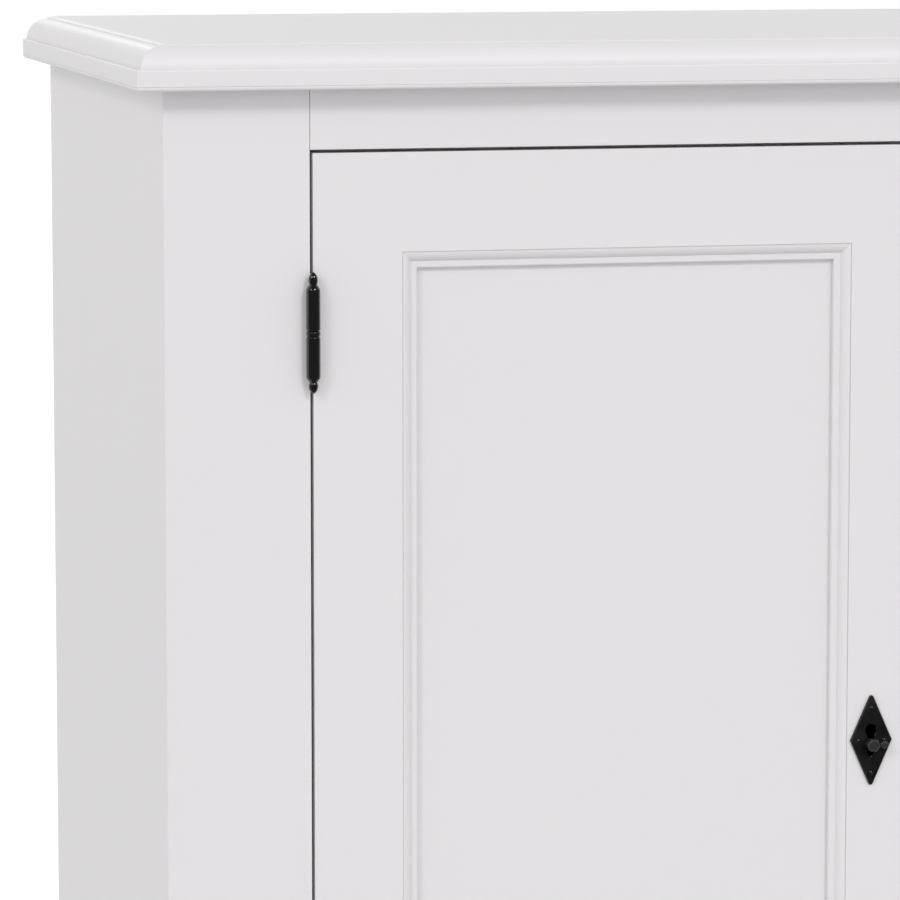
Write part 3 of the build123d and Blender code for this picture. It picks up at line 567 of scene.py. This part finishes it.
for hand in ("left", "right"):
    node = hand + "_escutcheon"
    low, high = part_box(node)
    plate_middle = (low + high) / 2
    shape = eased(node, plate_ease, shortest=shortest_on_metal)
    show(shape, node, black_satin, worn_and_highlit_black, on_bevel)
    node = hand + "_escutcheon_nails"
    shape = eased(node, nail_ease, shortest=shortest_on_metal)
    show(shape, node, black_stove, worn_and_highlit_black, on_nail_rim)


# Key: a cast and filed key with a six-sided boss and a thumb piece, painted black, worn to grey on its
# edges by handling. It stands loose in the keyhole.
key_ease = 0.00025
show(eased("key", key_ease, shortest=shortest_on_metal), "key", worn_and_highlit_black)


# Rim lock, its bolt, the keep, the slide bolts, pins, pegs and screws: pressed and cast steel, zinc
# plated, with a dull film and fine rubbing marks. The lock and the slide bolts are screwed to the backs
# of the doors, and the lock case's front faces are painted near-black: painted shade for what shows
# through the keyhole.
steel_ease = 0.0003
zinc_plate = finish("zinc_plate", {
    "Colour": (0.62, 0.62, 0.63, 1.0), "Arris highlight and wear colour": (0.74, 0.74, 0.74, 1.0), "Arris highlight and wear": 1.0,
    "Tone spread": 0.18, "Cloud size": 70.0, "Gloss": 0.5, "Gloss spread": 0.16,
    "Grain size": 500.0, "Grain run": (1.0, 1.0, 0.06),
}, bump_depth=0.00001, shader={"Metallic": 0.75})
# Near-black painted shade on the lock case's front faces, seen through the keyhole.
lock_case_painted_shade = finish("lock_case_painted_shade", {
    "Colour": (0.012, 0.012, 0.013, 1.0), "Arris highlight and wear colour": (0.05, 0.05, 0.05, 1.0), "Arris highlight and wear": 0.5,
    "Tone spread": 0.3, "Cloud size": 200.0, "Gloss": 0.6, "Gloss spread": 0.2,
    "Grain size": 900.0, "Grain run": (1.0, 1.0, 1.0),
}, bump_depth=0.00001, shader={"Specular IOR Level": 0.2})
shape = eased("lock_case", steel_ease, shortest=shortest_on_metal)
show(shape, "lock_case", zinc_plate, lock_case_painted_shade, faces_front)
for node in (
    "lock_cover", "lock_bolt", "bolt_keep", "upper_bolt_plate", "upper_bolt",
    "lower_bolt_plate", "lower_bolt", "hinge_pins", "shelf_pegs", "left_door_screws",
    "right_door_screws", "post_hinge_screws",
):
    show(eased(node, steel_ease, shortest=shortest_on_metal), node, zinc_plate)


# Clothes rail and its sockets: a drawn steel tube held in two screwed cups, all chrome plated, with
# faint drawing marks along the tube.
tube_ease = 0.0004
chrome_plate = finish("chrome_plate", {
    "Colour": (0.78, 0.78, 0.79, 1.0), "Arris highlight and wear colour": (0.85, 0.85, 0.85, 1.0), "Arris highlight and wear": 0.5,
    "Tone spread": 0.05, "Cloud size": 40.0, "Gloss": 0.09, "Gloss spread": 0.08,
    "Grain size": 700.0, "Grain run": (0.05, 1.0, 1.0),
}, bump_depth=0.000003, shader={"Metallic": 1.0})
for node in ("clothes_rail", "rail_sockets"):
    show(eased(node, tube_ease, shortest=shortest_on_metal), node, chrome_plate)


# Studio: a wide pale floor that keeps the shadow, pale walls all round that light the cabinet, the left
# one a little brighter, and a dark room in front of the cabinet that shows only in reflections.
floor_half = 30.0
floor_mesh = bpy.data.meshes.new("studio_floor")
floor_mesh.from_pydata(
    [(-floor_half, -floor_half, 0), (floor_half, -floor_half, 0), (floor_half, floor_half, 0),
     (-floor_half, floor_half, 0)], [], [(0, 1, 2, 3)],
)
floor = bpy.data.objects.new("studio_floor", floor_mesh)
bpy.context.scene.collection.objects.link(floor)


def by_ray(tree, bounced, mirrored, seen):
    """A level that depends on who looks: bounced light, a reflection, or the eye."""
    ray = add_node(tree, "ShaderNodeLightPath").outputs
    straight = add_node(tree, "ShaderNodeMath", {
        0: ray["Is Camera Ray"], 1: ray["Is Transmission Ray"],
    }, operation="MAXIMUM")
    level = add_node(tree, "ShaderNodeMix", {0: ray["Is Glossy Ray"], "A": bounced, "B": mirrored})
    return add_node(tree, "ShaderNodeMix", {
        0: straight.outputs[0], "A": level.outputs["Result"], "B": seen,
    }).outputs["Result"]


floor_paint = bpy.data.materials.new("floor_paint")
floor_paint.use_nodes = True
tree = floor_paint.node_tree
tree.nodes.clear()
place = add_node(tree, "ShaderNodeNewGeometry").outputs["Position"]
depth = add_node(tree, "ShaderNodeSeparateXYZ", {"Vector": place}).outputs["Y"]
sheen = add_node(tree, "ShaderNodeMapRange", {
    "Value": depth, "From Min": -0.6, "From Max": 0.4, "To Min": 0.1, "To Max": 0.9,
}, interpolation_type="SMOOTHSTEP").outputs["Result"]
paint_tone = by_ray(tree, bounced=0.75, mirrored=sheen, seen=0.92)
matt = add_node(tree, "ShaderNodeBsdfDiffuse", {"Color": paint_tone})
whitening = by_ray(tree, bounced=0.0, mirrored=0.0, seen=0.4)
white = add_node(tree, "ShaderNodeEmission", {"Strength": whitening})
both = add_node(tree, "ShaderNodeAddShader", {0: matt.outputs["BSDF"], 1: white.outputs["Emission"]})
add_node(tree, "ShaderNodeOutputMaterial", {"Surface": both.outputs["Shader"]})
floor_mesh.materials.append(floor_paint)

surround = bpy.data.worlds.new("white_surround")
bpy.context.scene.world = surround
surround.use_nodes = True
tree = surround.node_tree
tree.nodes.clear()
direction = add_node(tree, "ShaderNodeTexCoord").outputs["Generated"]
axes = add_node(tree, "ShaderNodeSeparateXYZ", {"Vector": direction}).outputs
backdrop = add_node(tree, "ShaderNodeMapRange", {
    "Value": axes["Y"], "From Min": 0.2, "From Max": 0.7, "To Min": 0.1, "To Max": 1.0,
}, interpolation_type="SMOOTHSTEP").outputs["Result"]
walls = add_node(tree, "ShaderNodeMapRange", {
    "Value": axes["Z"], "From Min": 0.28, "From Max": 0.50, "To Min": 0.99, "To Max": 0.62,
}, interpolation_type="SMOOTHSTEP").outputs["Result"]
left_wall = add_node(tree, "ShaderNodeMapRange", {
    "Value": axes["X"], "From Min": -0.9, "From Max": -0.3, "To Min": 1.17, "To Max": 1.0,
}, interpolation_type="SMOOTHSTEP").outputs["Result"]
walls = add_node(tree, "ShaderNodeMath", {0: walls, 1: left_wall}, operation="MULTIPLY").outputs[0]
level = by_ray(tree, bounced=walls, mirrored=backdrop, seen=1.0)
glow = add_node(tree, "ShaderNodeBackground", {"Color": (1.0, 1.0, 1.0, 1.0), "Strength": level})
add_node(tree, "ShaderNodeOutputWorld", {"Surface": glow.outputs["Background"]})


# Lamps: two soft keys high to the left and right that shade the carcass under the top, and a faint rim
# light from behind that glints along the edge of the top. Azimuth 0 is the front and 90 the right side.
def lamp(name, azimuth, elevation, strength, spread):
    """A soft distant lamp."""
    light = bpy.data.lights.new(name, "SUN")
    light.energy = strength
    light.angle = radians(spread)
    holder = bpy.data.objects.new(name, light)
    bpy.context.scene.collection.objects.link(holder)
    around = radians(azimuth)
    up = radians(elevation)
    towards = Vector((sin(around) * cos(up), -cos(around) * cos(up), sin(up)))
    holder.rotation_euler = towards.to_track_quat("Z", "Y").to_euler()


lamp("left_key", azimuth=-50, elevation=30, strength=0.50, spread=13)
lamp("right_key", azimuth=22, elevation=34, strength=0.745, spread=13)
lamp("back_rim", azimuth=178, elevation=16, strength=0.06, spread=8)


# Camera: a long lens a little above the top board, in front of the cabinet's left end and turned a
# little to the right and down, without shift.
eye = Vector((-1.2867, -4.0677, 1.8168))
turned = radians(13.147)
dipped = radians(7.099)
camera_data = bpy.data.cameras.new("camera")
camera_data.sensor_width = 36.0
camera_data.lens = 200.0
camera = bpy.data.objects.new("camera", camera_data)
bpy.context.scene.collection.objects.link(camera)
camera.location = eye
sight = Vector((sin(turned) * cos(dipped), cos(turned) * cos(dipped), -sin(dipped)))
camera.rotation_euler = sight.to_track_quat("-Z", "Y").to_euler()
bpy.context.scene.camera = camera
bpy.context.scene.view_settings.view_transform = "Standard"
